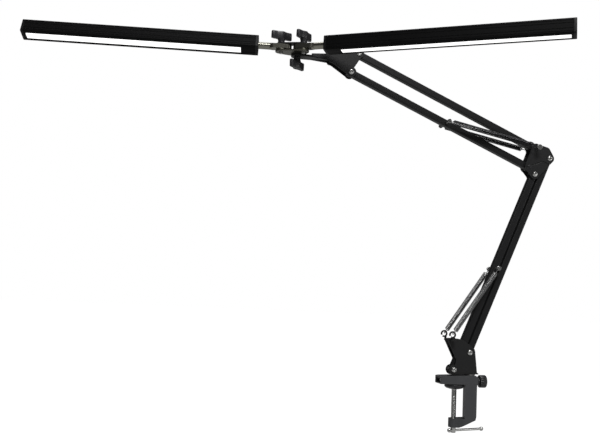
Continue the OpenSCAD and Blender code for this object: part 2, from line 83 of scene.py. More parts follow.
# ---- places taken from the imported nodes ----

def corners(node, side=0):
    """Different vertices of a CAD node; side keeps those with Y above or below zero."""
    found = sorted({tuple(round(c, 6) for c in v.co) for v in nodes[node].data.vertices})
    points = np.array(found)
    return points[points[:, 1] * side > 0] if side else points


def long_axis(points):
    """Centre, direction and both ends of a long solid, from its vertices."""
    centre = points.mean(0)
    direction = np.linalg.svd(points - centre)[2][0]
    along = (points - centre) @ direction
    return Vector(centre), Vector(direction), along.min(), along.max()


def middle(node):
    """Centre of a node's box."""
    low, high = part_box(node)
    return (low + high) / 2


def joint_at(name):
    """Where a joint's axis stands at rest."""
    return Vector(joints[name]["pos_m"])


def frame_of(origin, x_axis, z_hint):
    """Matrix that puts local X on x_axis and local Z as near z_hint as it goes."""
    x = Vector(x_axis).normalized()
    z = (Vector(z_hint) - x * x.dot(z_hint)).normalized()
    y = z.cross(x)
    matrix = Matrix((x, y, z)).transposed().to_4x4()
    matrix.translation = origin
    return matrix


# ---- mesh building ----

def put(name, verts, faces, body, slot, stands_for=(), matrix=None, smooth=40):
    """A mesh piece from vertices and faces, placed, shaded smooth and riding on its body."""
    mesh = bpy.data.meshes.new(name)
    mesh.from_pydata([tuple(v) for v in verts], [], faces)
    mesh.validate()
    if matrix is not None:
        mesh.transform(matrix)
    bm = bmesh.new()
    bm.from_mesh(mesh)
    bmesh.ops.remove_doubles(bm, verts=bm.verts, dist=1e-6)
    bmesh.ops.recalc_face_normals(bm, faces=bm.faces)
    for face in bm.faces:
        face.smooth = True
    for edge in bm.edges:
        if len(edge.link_faces) == 2:
            edge.smooth = edge.calc_face_angle(0) < math.radians(smooth)
    bm.to_mesh(mesh)
    bm.free()
    obj = bpy.data.objects.new(name, mesh)
    bpy.context.scene.collection.objects.link(obj)
    mesh.materials.append(LOOKS[slot])
    if body:
        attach(obj, body)
    if stands_for:
        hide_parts(*stands_for)
    return obj


def lathe(profile, steps=48):
    """Surface of revolution about Z from (radius, height) points; radius 0 makes a pole."""
    verts, faces, rings = [], [], []
    for radius, height in profile:
        if radius < 1e-7:
            rings.append([len(verts)] * steps)
            verts.append((0, 0, height))
            continue
        start = len(verts)
        rings.append([start + k for k in range(steps)])
        for k in range(steps):
            turn = 2 * math.pi * k / steps
            verts.append((radius * math.cos(turn), radius * math.sin(turn), height))
    for low, high in zip(rings, rings[1:]):
        for k in range(steps):
            n = (k + 1) % steps
            loop = list(dict.fromkeys([low[k], low[n], high[n], high[k]]))
            if len(loop) > 2:
                faces.append(loop)
    return verts, faces


def join(*parts):
    """One vertex and face list from several."""
    verts, faces = [], []
    for part_verts, part_faces in parts:
        shift = len(verts)
        verts.extend(part_verts)
        faces.extend([[i + shift for i in face] for face in part_faces])
    return verts, faces


def moved(part, matrix):
    """A part's vertices through a matrix, with its faces as they are."""
    return [matrix @ Vector(v) for v in part[0]], part[1]


def sweep(path, radius, sides):
    """Closed wire of round section along a path of points."""
    path = [Vector(p) for p in path]
    verts, faces = [], []
    normal = None
    for i, point in enumerate(path):
        ahead = path[min(i + 1, len(path) - 1)] - path[max(i - 1, 0)]
        ahead.normalize()
        if normal is None:
            normal = ahead.orthogonal().normalized()
        normal = (normal - ahead * normal.dot(ahead)).normalized()
        other = ahead.cross(normal)
        for k in range(sides):
            turn = 2 * math.pi * k / sides
            verts.append(point + (normal * math.cos(turn) + other * math.sin(turn)) * radius)
    for i in range(len(path) - 1):
        for k in range(sides):
            n = (k + 1) % sides
            faces.append([i * sides + k, i * sides + n, (i + 1) * sides + n, (i + 1) * sides + k])
    faces.append(list(range(sides))[::-1])
    faces.append([(len(path) - 1) * sides + k for k in range(sides)])
    return verts, faces


def prism(outline, low, high):
    """Solid between two heights with an outline of (x, y) points."""
    count = len(outline)
    verts = [(x, y, low) for x, y in outline] + [(x, y, high) for x, y in outline]
    faces = [[k, (k + 1) % count, count + (k + 1) % count, count + k] for k in range(count)]
    return verts, faces + [list(range(count))[::-1], [count + k for k in range(count)]]


def bevelled(obj, width):
    """Rounds a piece's sharp edges and evens out its shading."""
    bevel = obj.modifiers.new("bevel", "BEVEL")
    bevel.width = width
    bevel.segments = 2
    bevel.limit_method = "ANGLE"
    bevel.angle_limit = SHARP_EDGE
    bevel.miter_outer = "MITER_ARC"
    obj.modifiers.new("normals", "WEIGHTED_NORMAL").keep_sharp = False
    return obj


# ---- materials ----

DRIFT_SCALE = 45.0  # noise cells per metre, for the broad drift of colour
WORN_SCALE = 260.0  # the same, for patches of wear on the edges
EDGE_GAIN = 0.35  # how far the normals part before an edge counts as fully worn
RELIEF_DEPTH = 0.2 * MM


def ramp_value(tree, source, low, high):
    """Map Range node from 0..1 to low..high."""
    node = tree.nodes.new("ShaderNodeMapRange")
    node.inputs["To Min"].default_value = low
    node.inputs["To Max"].default_value = high
    tree.links.new(source, node.inputs["Value"])
    return node.outputs["Result"]


def noise(tree, scale, detail):
    """Noise of 0 to 1 over an object's own coordinates."""
    place = tree.nodes.new("ShaderNodeTexCoord").outputs["Object"]
    node = tree.nodes.new("ShaderNodeTexNoise")
    node.inputs["Scale"].default_value = scale
    node.inputs["Detail"].default_value = detail
    tree.links.new(place, node.inputs["Vector"])
    return node.outputs["Fac"]


def edge_mask(tree, radius):
    """1 near sharp edges and 0 on flat faces, broken up by noise."""
    bevel = tree.nodes.new("ShaderNodeBevel")
    bevel.inputs["Radius"].default_value = radius
    geometry = tree.nodes.new("ShaderNodeNewGeometry")
    dot = tree.nodes.new("ShaderNodeVectorMath")
    dot.operation = "DOT_PRODUCT"
    tree.links.new(bevel.outputs["Normal"], dot.inputs[0])
    tree.links.new(geometry.outputs["Normal"], dot.inputs[1])
    flip = tree.nodes.new("ShaderNodeMapRange")
    flip.inputs["From Min"].default_value = 1.0
    flip.inputs["From Max"].default_value = 1.0 - EDGE_GAIN
    tree.links.new(dot.outputs["Value"], flip.inputs["Value"])
    patchy = ramp_value(tree, noise(tree, WORN_SCALE, 3.0), 0.1, 1.0)
    both = tree.nodes.new("ShaderNodeMath")
    both.operation = "MULTIPLY"
    tree.links.new(flip.outputs["Result"], both.inputs[0])
    tree.links.new(patchy, both.inputs[1])
    return both.outputs["Value"]


def mixed(tree, share, first, second):
    """Colour between two others, each a socket or three plain values."""
    node = tree.nodes.new("ShaderNodeMix")
    node.data_type = "RGBA"
    for socket, value in (("A", first), ("B", second)):
        target = [s for s in node.inputs if s.name == socket and s.type == "RGBA"][0]
        if isinstance(value, tuple):
            target.default_value = (*value, 1.0)
        else:
            tree.links.new(value, target)
    tree.links.new(share, node.inputs["Factor"])
    return [s for s in node.outputs if s.type == "RGBA"][0]


def finish_of(name, colour, other, rough, grain, bump, metallic=0.0, edge=None, specular=0.5,
              wear=0.4 * MM):
    """Procedural finish: colour drift, grain in bump and roughness, and worn edges."""
    material = bpy.data.materials.new(name)
    material.use_nodes = True
    tree = material.node_tree
    shader = tree.nodes["Principled BSDF"]
    shader.inputs["Metallic"].default_value = metallic
    shader.inputs["Specular IOR Level"].default_value = specular
    fine = noise(tree, grain, 4.0)
    broad = noise(tree, DRIFT_SCALE, 2.0)
    tint = mixed(tree, broad, colour, other)
    if edge:
        tint = mixed(tree, edge_mask(tree, wear), tint, edge)
    tree.links.new(tint, shader.inputs["Base Color"])
    tree.links.new(ramp_value(tree, fine, rough[0], rough[1]), shader.inputs["Roughness"])
    relief = tree.nodes.new("ShaderNodeBump")
    relief.inputs["Strength"].default_value = bump
    relief.inputs["Distance"].default_value = RELIEF_DEPTH
    tree.links.new(fine, relief.inputs["Height"])
    tree.links.new(relief.outputs["Normal"], shader.inputs["Normal"])
    return material


def glowing(name, colour, strength):
    """Opal plastic that gives off light of its own, a little uneven along its length."""
    material = finish_of(name, colour, tuple(0.97 * c for c in colour), (0.3, 0.42), 1800.0, 0.05)
    tree = material.node_tree
    shader = tree.nodes["Principled BSDF"]
    shader.inputs["Emission Color"].default_value = (*colour, 1.0)
    glow = ramp_value(tree, noise(tree, 18.0, 1.0), strength * 0.93, strength)
    tree.links.new(glow, shader.inputs["Emission Strength"])
    return material


BLACK_EDGE = (0.022, 0.022, 0.023)
LOOKS = {
    "clamp_casting": finish_of("clamp_casting", (0.036, 0.037, 0.04), (0.052, 0.053, 0.056), (0.4, 0.58),
                               1500.0, 0.5, edge=(0.12, 0.12, 0.125), wear=0.7 * MM, specular=0.35),
    "zinc_steel": finish_of("zinc_steel", (0.4, 0.4, 0.39), (0.5, 0.5, 0.49), (0.2, 0.34),
                            900.0, 0.15, metallic=1.0, edge=(0.6, 0.6, 0.58)),
    "nylon": finish_of("nylon", (0.3, 0.295, 0.28), (0.36, 0.355, 0.34), (0.4, 0.55), 1200.0, 0.1),
    "black_plastic": finish_of("black_plastic", (0.012, 0.012, 0.0135), (0.018, 0.018, 0.02), (0.26, 0.4),
                               1700.0, 0.25, edge=(0.05, 0.05, 0.052), specular=0.45),
    "rubber": finish_of("rubber", (0.007, 0.007, 0.0075), (0.011, 0.011, 0.011), (0.6, 0.8), 1300.0, 0.4,
                        specular=0.2),
    "black_plate": finish_of("black_plate", (0.007, 0.007, 0.0075), (0.011, 0.011, 0.0115), (0.36, 0.52),
                             1600.0, 0.35, edge=BLACK_EDGE, specular=0.3),
    "black_tube": finish_of("black_tube", (0.004, 0.004, 0.0044), (0.0075, 0.0075, 0.008), (0.34, 0.5),
                            1600.0, 0.35, edge=BLACK_EDGE, specular=0.28),
    "end_plastic": finish_of("end_plastic", (0.004, 0.004, 0.0045), (0.007, 0.007, 0.0075), (0.4, 0.55),
                             1500.0, 0.25, specular=0.15),
    "grey_plate": finish_of("grey_plate", (0.1, 0.098, 0.08), (0.14, 0.137, 0.112), (0.25, 0.4),
                            1100.0, 0.2, metallic=1.0, edge=(0.5, 0.49, 0.43)),
    "nickel": finish_of("nickel", (0.2, 0.195, 0.165), (0.26, 0.255, 0.22), (0.18, 0.3),
                        1000.0, 0.12, metallic=1.0, edge=(0.5, 0.49, 0.44)),
    "bar_aluminium": finish_of("bar_aluminium", (0.0018, 0.0018, 0.002), (0.003, 0.003, 0.0032), (0.4, 0.52),
                               2200.0, 0.2, edge=(0.008, 0.008, 0.0085), specular=0.06),
    "opal": glowing("opal", (0.95, 0.95, 0.94), 1.1),
    "board": finish_of("board", (0.7, 0.72, 0.68), (0.76, 0.77, 0.74), (0.3, 0.45), 1400.0, 0.15),
    "bright_spring": finish_of("bright_spring", (0.22, 0.22, 0.22), (0.28, 0.28, 0.28), (0.24, 0.36),
                               1400.0, 0.1, metallic=1.0),
    "dark_spring": finish_of("dark_spring", (0.035, 0.035, 0.037), (0.05, 0.05, 0.053), (0.22, 0.35),
                             1400.0, 0.1, metallic=1.0),
}


# ---- carried-over CAD nodes ----

def refine(node):
    """Welds a CAD node's surface, softens its edges and gives it its slot's finish."""
    obj = nodes[node]
    obj.modifiers.new("weld", "WELD").merge_threshold = WELD_GAP
    flat = obj.modifiers.new("flat", "DECIMATE")
    flat.decimate_type = "DISSOLVE"
    flat.angle_limit = FLAT_ANGLE
    bevelled(obj, EDGE_WIDTH)
    obj.data.materials.clear()
    obj.data.materials.append(LOOKS[node_slot[node]])


for node in nodes:
    refine(node)


# ---- part shapes that repeat ----

def stood(origin, z_axis):
    """Matrix that puts local Z on z_axis."""
    matrix = Vector(z_axis).to_track_quat("Z", "Y").to_matrix().to_4x4()
    matrix.translation = origin
    return matrix


def cylinder(start, end, radius, steps=32):
    """Closed cylinder between two points."""
    axis = Vector(end) - Vector(start)
    drum = lathe([(0, 0), (radius, 0), (radius, axis.length), (0, axis.length)], steps)
    return moved(drum, stood(start, axis))


def temporary(part):
    """Unlisted object of a part, for cutting and joining."""
    mesh = bpy.data.meshes.new("tool")
    mesh.from_pydata([tuple(v) for v in part[0]], [], part[1])
    bm = bmesh.new()
    bm.from_mesh(mesh)
    bmesh.ops.recalc_face_normals(bm, faces=bm.faces)
    bm.to_mesh(mesh)
    bm.free()
    obj = bpy.data.objects.new("tool", mesh)
    bpy.context.scene.collection.objects.link(obj)
    return obj


def shaped(base, tools, operation="DIFFERENCE"):
    """A part after each tool is cut from it or joined to it."""
    work = [temporary(part) for part in (base, *tools)]
    for tool in work[1:]:
        modifier = work[0].modifiers.new("shape", "BOOLEAN")
        modifier.operation = operation
        modifier.solver = "EXACT"
        modifier.object = tool
    seen = work[0].evaluated_get(bpy.context.evaluated_depsgraph_get())
    mesh = seen.to_mesh()
    part = [v.co.copy() for v in mesh.vertices], [list(p.vertices) for p in mesh.polygons]
    seen.to_mesh_clear()
    for obj in work:
        bpy.data.objects.remove(obj, do_unlink=True)
    return part


def loft(outlines):
    """Solid through outlines of equal point counts, given as (points, height)."""
    verts, faces = [], []
    for points, height in outlines:
        verts.extend((x, y, height) for x, y in points)
    count = len(outlines[0][0])
    for row in range(len(outlines) - 1):
        for k in range(count):
            n = (k + 1) % count
            low, high = row * count, (row + 1) * count
            faces.append([low + k, low + n, high + n, high + k])
    faces.append(list(range(count))[::-1])
    faces.append([(len(outlines) - 1) * count + k for k in range(count)])
    return verts, faces


def square_outline(half, corner, grooves=(), depth=0.0, width=0.0, steps=6):
    """Square with round corners and V grooves at the given places along each side."""
    points = []
    for side in range(4):
        turn = Matrix.Rotation(side * math.pi / 2, 2)
        run = []
        for place in grooves:
            run += [(half, place - width / 2), (half - depth, place), (half, place + width / 2)]
        for k in range(steps + 1):
            bend = math.pi / 2 * k / steps
            centre = half - corner
            run.append((centre + corner * math.cos(bend), centre + corner * math.sin(bend)))
        points += [tuple(turn @ Vector(p)) for p in run]
    return points


def span(node, origin, along):
    """Lowest and highest place of a node's vertices along an axis."""
    reach = (corners(node) - np.array(origin)) @ np.array(along)
    return reach.min(), reach.max()


# ---- springs ----

WIRE = 0.62 * MM  # radius
WIRE_SIDES, PER_TURN = 7, 16
LOWER_PITCH, UPPER_PITCH = 1.62 * MM, 1.5 * MM
HOOK_REACH = 8 * MM


def smoothed(points, rounds=2):
    """Chaikin's corner cutting, with both ends kept."""
    for _ in range(rounds):
        cut = [points[0]]
        for a, b in zip(points, points[1:]):
            cut += [a * 0.75 + b * 0.25, a * 0.25 + b * 0.75]
        points = cut + [points[-1]]
    return points


def ring_points(radius, height, across, first, last, steps=14):
    """Open ring about a pin; across is the unit direction its plane shares with the spring."""
    points = []
    for k in range(steps + 1):
        turn = math.radians(first + (last - first) * k / steps)
        points.append(across * (radius * math.sin(turn)) + Vector((0, 0, height - radius * math.cos(turn))))
    return points


def pin_eye(reach, coil, pin):
    """Eye round a pin at the origin, drawn in to the axis and out to a coil at height reach."""
    points = ring_points(pin + 1.6 * WIRE, 0, Vector((1, 0, 0)), -155, 150)
    points += [Vector((0, 0, z)) for z in (pin + 3.4 * WIRE, (pin + reach) / 2 - 0.4 * MM, reach - 2.4 * MM)]
    for share in (0.35, 0.7):
        turn = math.radians(-60 + 150 * share)
        points.append(Vector((coil * share * math.cos(turn), coil * share * math.sin(turn),
                              reach - 2.0 * MM * (1 - share))))
    return smoothed(points)


def hook_eye(reach, coil):
    """Last turn of a coil bent over square, to hang in the eye of the base."""
    points = ring_points(coil, reach - coil + 0.1 * MM, Vector((0, 1, 0)), -160, 75)
    points.append(Vector((0, coil, reach - 1.2 * MM)))
    return smoothed(points)


def coil_spring(name, node, side, start, end, pitch, slot, first_eye, last_eye):
    """Wound tension spring with an eye at each end, baked in place and riding on no body."""
    points = corners(node, side)
    depth = points[:, 1].mean()
    start, end = Vector((start.x, depth, start.z)), Vector((end.x, depth, end.z))
    along = (end - start).normalized()
    reach = (points - np.array(start)) @ np.array(along)
    spread = points - np.array(start) - np.outer(reach, np.array(along))
    coil = np.linalg.norm(spread, axis=1).max() - WIRE
    length, low, high = (end - start).length, reach.min(), reach.max()
    turns = round((high - low) / pitch)
    path = list(first_eye(low, coil))
    for k in range(turns * PER_TURN + 1):
        turn = math.pi / 2 + 2 * math.pi * k / PER_TURN
        path.append(Vector((coil * math.cos(turn), coil * math.sin(turn),
                            low + (high - low) * k / (turns * PER_TURN))))
    for point in reversed(last_eye(length - high, coil)):
        path.append(Vector((-point.x, point.y, length - point.z)))
    matrix = frame_of(start, along.cross(Vector((0, 1, 0))), along)
    piece = put(name, *sweep(path, WIRE, WIRE_SIDES), None, slot, matrix=matrix, smooth=80)
    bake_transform(piece)
    return piece


def springs():
    """The two pairs of tension springs, each between its anchor and its cross pin."""
    pins = {node: middle(node) for node in ("lower_spring_pin", "upper_spring_pin", "elbow_spring_pin")}
    centre, along, low, high = long_axis(corners("lower_springs", FRONT))
    along = along if along.z > 0 else -along
    half = (high - low) / 2
    hook = centre - along * (half + HOOK_REACH)
    cross_pin, elbow_pin = 2 * MM, 3 * MM
    for side, word in ((FRONT, "front"), (REAR, "rear")):
        lower = coil_spring(
            "lower_spring_" + word, "lower_springs", side, hook, pins["lower_spring_pin"], LOWER_PITCH,
            "bright_spring", hook_eye, lambda reach, coil: pin_eye(reach, coil, cross_pin))
        upper = coil_spring(
            "upper_spring_" + word, "upper_springs", side, pins["elbow_spring_pin"],
            pins["upper_spring_pin"], UPPER_PITCH, "dark_spring",
            lambda reach, coil: pin_eye(reach, coil, elbow_pin),
            lambda reach, coil: pin_eye(reach, coil, cross_pin))
        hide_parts("lower_springs")
        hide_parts("upper_springs")


# ---- arms ----

TUBE_HALF = 5.5 * MM
TUBE_WALL = 1.2 * MM
PIN_BORE = 3.05 * MM
CROSS_BORE = 2.0 * MM


def arm_tube(node, body, pivots, cross=None):
    """Square steel tube with rounded corners, bored at its pivots and for a cross pin."""
    along = (pivots[1] - pivots[0]).normalized()
    low, high = span(node, pivots[0], along)
    matrix = frame_of(pivots[0], (0, 1, 0), along)
    outer = prism(square_outline(TUBE_HALF, 1.5 * MM), low, high)
    inner = prism(square_outline(TUBE_HALF - TUBE_WALL, 0.6 * MM), low - MM, high + MM)
    depth = Vector((0, 2 * TUBE_HALF, 0))
    bores = [(place, PIN_BORE) for place in pivots]
    if cross:
        bores.append((cross, CROSS_BORE))
    tools = [moved(inner, matrix)]
    tools += [cylinder(place - depth, place + depth, radius) for place, radius in bores]
    part = shaped(moved(outer, matrix), tools)
    put(node + "_formed", *part, body, node_slot[node], (node,), smooth=30)


def rivet_part(at, plates, shank, head):
    """Tubular rivet along Y with a rolled lip round a hollow at each end."""
    half = [(0, plates + 0.7 * MM), (1.3 * MM, plates + 0.7 * MM), (1.5 * MM, plates + 1.7 * MM),
            (1.9 * MM, plates + 2.2 * MM), (2.5 * MM, plates + 2.3 * MM), (3.3 * MM, plates + 2.0 * MM),
            (4.1 * MM, plates + 1.3 * MM), (head, plates + 0.5 * MM), (head, plates), (shank, plates)]
    profile = [(r, -h) for r, h in half] + [(r, h) for r, h in reversed(half)]
    return moved(lathe(profile, 36), stood(at, (0, 1, 0)))


def rivets(name, node, body, places):
    """One piece of all the rolled rivets that stand for a CAD node."""
    plates, shank, head = 8.5 * MM, 3.0 * MM, 4.6 * MM
    part = join(*[rivet_part(at, plates, shank, head) for at in places])
    put(name, *part, body, node_slot[node], (node,), smooth=50)


def arms():
    """Four arm tubes, the rivets they turn on and the elbow's flush pin."""
    base_main, base_link = joint_at("lower_lean"), joint_at("lower_link_turn")
    elbow_main, elbow_upper = joint_at("elbow_level"), joint_at("upper_lift")
    elbow_link = elbow_main + base_link - base_main
    elbow_lower, head_upper = joint_at("upper_link_turn"), joint_at("head_level")
    head_lower = head_upper + elbow_lower - elbow_upper
    arm_tube("lower_main_tube", "lower_arm_main", (base_main, elbow_main), middle("lower_spring_pin"))
    arm_tube("lower_link_tube", "lower_arm_link", (base_link, elbow_link))
    arm_tube("upper_main_tube", "upper_arm_main", (elbow_upper, head_upper))
    arm_tube("upper_link_tube", "upper_arm_link", (elbow_lower, head_lower), middle("upper_spring_pin"))
    rivets("base_rolled_rivets", "base_rivets", "arm_base", (base_main, base_link))
    rivets("head_rolled_rivets", "head_rivets", "head_bracket", (head_upper, head_lower))
    pin_profile = [(0, -8.9 * MM), (2.6 * MM, -8.9 * MM), (3.0 * MM, -8.6 * MM), (3.0 * MM, 9.3 * MM),
                   (2.6 * MM, 9.7 * MM), (0, 9.7 * MM)]
    rivets("elbow_rolled_rivets", "elbow_rivets", "elbow", (elbow_main, elbow_link))
    flush_pin = moved(lathe(pin_profile, 36), stood(elbow_lower, (0, 1, 0)))
    put("elbow_flush_pin", *flush_pin, "elbow", "black_plate", ("elbow_rivets",), smooth=50)


# ---- clamp screw and knobs ----

def threaded_rod(radius, low, high, thread_low, thread_high, pitch, depth, steps=36, rows=7):
    """Rod along Z with one thread that runs out at both ends."""
    chamfer = 0.5 * MM
    heights = [low, low + chamfer]
    count = round((thread_high - thread_low) / pitch * rows)
    heights += [thread_low + (thread_high - thread_low) * k / count for k in range(count + 1)]
    heights += [high - chamfer, high]
    verts, faces = [], []
    for height in heights:
        fade = min(1.0, max(0.0, min(height - thread_low, thread_high - height) / pitch))
        ends = chamfer if height in (low, high) else 0.0
        for k in range(steps):
            turn = 2 * math.pi * k / steps
            phase = (height / pitch - k / steps) % 1.0
            groove = min(1.0, 1.7 * abs(1 - 2 * phase)) if phase else 1.0
            r = radius - ends - depth * fade * (1 - groove)
            verts.append((r * math.cos(turn), r * math.sin(turn), height))
    for row in range(len(heights) - 1):
        for k in range(steps):
            n = (k + 1) % steps
            faces.append([row * steps + k, row * steps + n, (row + 1) * steps + n, (row + 1) * steps + k])
    faces.append(list(range(steps))[::-1])
    faces.append([(len(heights) - 1) * steps + k for k in range(steps)])
    return verts, faces


def clamp_screw():
    """Threaded screw, cross-bored for the tommy bar."""
    low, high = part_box("clamp_screw")
    bar_low, bar_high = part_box("tommy_bar")
    radius = (high.x - low.x) / 2
    axis = Vector(joints["tommy_bar_slide"]["axis"])
    bar_at = Vector((0, 0, (bar_low.z + bar_high.z) / 2))
    plain_foot, plain_top, pitch, thread_depth = 8 * MM, 5 * MM, 1.25 * MM, 0.6 * MM
    rod = threaded_rod(radius, low.z, high.z, low.z + plain_foot, high.z - plain_top, pitch, thread_depth)
    reach, bar_bore = 20 * MM, 2.05 * MM
    bore = cylinder(bar_at - axis * reach, bar_at + axis * reach, bar_bore, 24)
    put("clamp_screw_threaded", *shaped(rod, [bore]), "clamp_screw", "zinc_steel", ("clamp_screw",),
        smooth=50)


def wing_outline(length, waist, hub, inset=0.0, steps=22):
    """Plan of a wing: two rounded paddles that swell into a hub."""
    upper = []
    for k in range(steps + 1):
        x = (length - inset) * math.cos(math.pi * k / steps)
        share = abs(x) / (length - inset)
        paddle = (waist + 0.7 * MM * share ** 2 - inset) * math.sqrt(max(0.0, 1 - share ** 10))
        upper.append((x, paddle + (hub - waist) * math.exp(-(x / (0.3 * length)) ** 2)))
    return upper + [(x, -y) for x, y in reversed(upper[1:-1])]


def wing_knob(name, node, body, up):
    """Moulded wing knob with a tapered hub and a dished top, turned as its CAD node is."""
    points = corners(node)
    low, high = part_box(node)
    flat = points[:, :2] - points[:, :2].mean(0)
    turn = np.linalg.svd(flat)[2][0]
    reach = np.abs(flat @ turn).max()
    foot = low.z if up > 0 else high.z
    origin = Vector((points[:, 0].mean(), points[:, 1].mean(), foot))
    height = high.z - low.z
    waist, hub = 3.1 * MM, 6.5 * MM
    wing_low = 6.5 * MM
    rows = [(0.9, wing_low), (0.2, wing_low + 0.6 * MM), (0.0, wing_low + 1.6 * MM), (0.15, height - 2 * MM),
            (0.35, height - 0.8 * MM), (0.8, height - 0.2 * MM), (1.3, height), (2.0, height),
            (2.3, height - 0.7 * MM)]
    wing = loft([(wing_outline(reach, waist, hub, inset * MM), z) for inset, z in rows])
    foot_r = 5.6 * MM
    stem = lathe([(0, 0), (foot_r - 0.5 * MM, 0), (foot_r, 0.5 * MM), (foot_r - 0.3 * MM, 4 * MM),
                  (foot_r + 0.5 * MM, 6.2 * MM), (foot_r + 0.6 * MM, 9 * MM), (0, 9 * MM)], 40)
    bore = cylinder((0, 0, -MM), (0, 0, height - 6.5 * MM), 3.0 * MM)
    part = shaped(shaped(wing, [stem], "UNION"), [bore])
    matrix = frame_of(origin, (turn[0], turn[1], 0), (0, 0, up))
    put(name, *part, body, "black_plastic", (node,), matrix, smooth=38)


def lock_knob():
    """Fluted thumb knob on a neck, with a dished end."""
    low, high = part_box("swivel_lock_knob")
    length, radius = high.x - low.x, (high.z - low.z) / 2
    neck, step, deep = 5.5 * MM, 6.5 * MM, 0.9 * MM
    rows = [(0, 8 * MM, 0), (2.5 * MM, 8 * MM, 0), (2.6 * MM, 0, 0), (neck - 0.5 * MM, 0, 0),
            (neck, 0.4 * MM, 0), (neck - 0.6 * MM, 2.5 * MM, 0), (neck - 0.3 * MM, step - 0.6 * MM, 0),
            (radius - 1.6 * MM, step, 0.6), (radius - 0.3 * MM, step + 0.4 * MM, 1),
            (radius, step + 1.2 * MM, 1), (radius, length - 1.3 * MM, 1),
            (radius - 0.4 * MM, length - 0.4 * MM, 1), (radius - 1.4 * MM, length, 0.6),
            (radius - 3.4 * MM, length, 0), (radius - 4.2 * MM, length - 0.8 * MM, 0), (0, length - MM, 0)]
    steps, flutes = 96, 16
    verts, faces = lathe([(r, h) for r, h, _ in rows], steps)
    index = 0
    for ring, _, share in rows:
        for k in range(steps if ring > 0 else 1):
            dip = share * deep * (0.5 - 0.5 * math.cos(2 * math.pi * flutes * k / steps)) ** 2
            x, y, z = verts[index]
            scale = 1 - dip / ring if ring > 0 else 1
            verts[index] = (x * scale, y * scale, z)
            index += 1
    origin = Vector((low.x, (low.y + high.y) / 2, (low.z + high.z) / 2))
    matrix = frame_of(origin, (0, 1, 0), (1, 0, 0))
    put("swivel_lock_thumb", verts, faces, "swivel_lock", "black_plastic", ("swivel_lock_knob",), matrix, 45)


# ---- light bars ----

BAR_HALF = 12.0 * MM
BAR_CORNER = 2.5 * MM
BAR_WALL = 1.6 * MM
CAP = 4.0 * MM


def bar_frame(side):
    """Matrix with local Z along the bar, local Y up through its plain face, and its origin."""
    joint = joints[side + "_roll"]
    origin, along = Vector(joint["pos_m"]), Vector(joint["axis"]).normalized()
    down = Vector(corners(side + "_diffuser").mean(0)) - origin
    down = (down - along * down.dot(along)).normalized()
    matrix = Matrix(((-down).cross(along), -down, along)).transposed().to_4x4()
    matrix.translation = origin
    return matrix, origin, along


